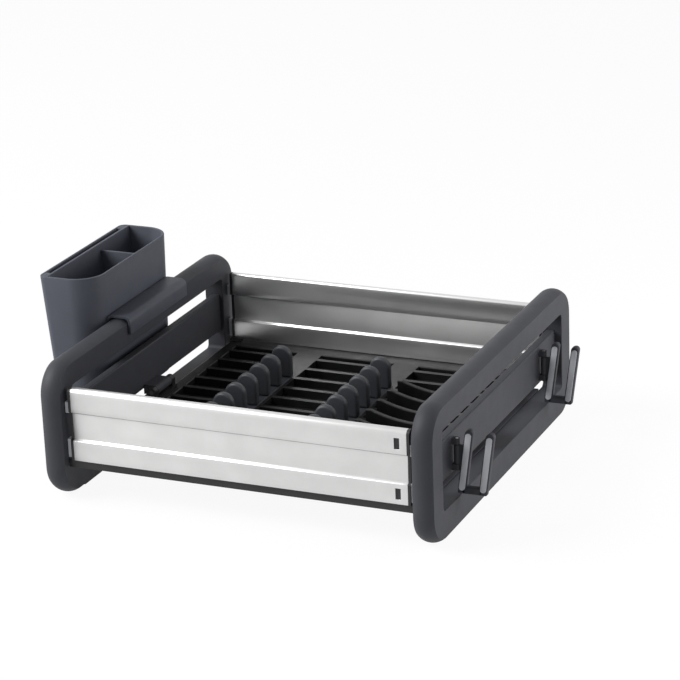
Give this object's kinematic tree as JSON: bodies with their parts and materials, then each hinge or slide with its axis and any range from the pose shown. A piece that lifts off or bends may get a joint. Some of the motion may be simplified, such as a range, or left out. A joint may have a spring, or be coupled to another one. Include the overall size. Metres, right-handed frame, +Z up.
{
  "type": "foldable dish rack",
  "caption": "Dish rack with upright rounded end frames, aluminium walls that fold inward, peg rows, swing-out glass hooks and a lift-off utensil caddy.",
  "frame": {"origin": "on the counter, under the middle of the rack's floor", "axes": "+X along the aluminium walls towards the glass hooks, +Y from the front wall to the back wall, +Z up"},
  "size_m": [0.4539, 0.3554, 0.168],
  "materials": {
    "coated_frame": "soft-touch, dark cool grey",
    "black_plastic": "satin black",
    "aluminium": "satin anodised",
    "peg_plastic": "matte, dark grey",
    "steel": "ground",
    "foot_rubber": "matte",
    "light_soft": "soft, light grey",
    "caddy_plastic": "matte, dark blue-grey"
  },
  "bodies": {
    "rack": {"floor_tray": "black_plastic", "side_rail_front": "black_plastic", "side_rail_back": "black_plastic", "bowl_cradle": "black_plastic", "hinge_bracket_left": "black_plastic", "hinge_bracket_right": "black_plastic", "end_frame_left": "coated_frame", "end_frame_right": "coated_frame", "foot_pads_left": "foot_rubber", "foot_pads_right": "foot_rubber", "end_frame_pin_left": "steel", "end_frame_pin_right": "steel", "end_panel_left": "coated_frame", "end_panel_right": "coated_frame", "front_wall_pins": "steel", "back_wall_pins": "steel", "peg_row_left": "peg_plastic", "peg_row_right": "peg_plastic", "glass_hook_pin_front": "steel", "glass_hook_pin_rear": "steel"},
    "front_wall_leaf": {"front_wall": "aluminium", "front_wall_plug_left": "black_plastic", "front_wall_plug_right": "black_plastic", "front_wall_glides": "light_soft"},
    "back_wall_leaf": {"back_wall": "aluminium", "back_wall_plug_left": "black_plastic", "back_wall_plug_right": "black_plastic", "back_wall_glides": "light_soft"},
    "front_hook": {"glass_hook_front": "coated_frame", "glass_hook_strips_front": "light_soft"},
    "rear_hook": {"glass_hook_rear": "coated_frame", "glass_hook_strips_rear": "light_soft"},
    "caddy": {"utensil_caddy": "caddy_plastic", "caddy_grate": "caddy_plastic"}
  },
  "joints": [
    {"name": "front_wall_fold", "type": "hinge", "parent": "rack", "child": "front_wall_leaf", "pos_m": [0, -0.156, 0.036], "axis": [-1, 0, 0], "range_deg": [0, 90]},
    {"name": "back_wall_fold", "type": "hinge", "parent": "rack", "child": "back_wall_leaf", "pos_m": [0, 0.156, 0.036], "axis": [1, 0, 0], "range_deg": [0, 90]},
    {"name": "front_glass_hook_swing", "type": "hinge", "parent": "rack", "child": "front_hook", "pos_m": [0.18, -0.111, 0.058], "axis": [0, 0, 1], "range_deg": [0, 90]},
    {"name": "rear_glass_hook_swing", "type": "hinge", "parent": "rack", "child": "rear_hook", "pos_m": [0.18, 0.111, 0.058], "axis": [0, 0, -1], "range_deg": [0, 90]},
    {"name": "caddy_lift", "type": "slide", "parent": "rack", "child": "caddy", "axis": [0, 0, 1], "range_m": [0, 0.06]}
  ]
}
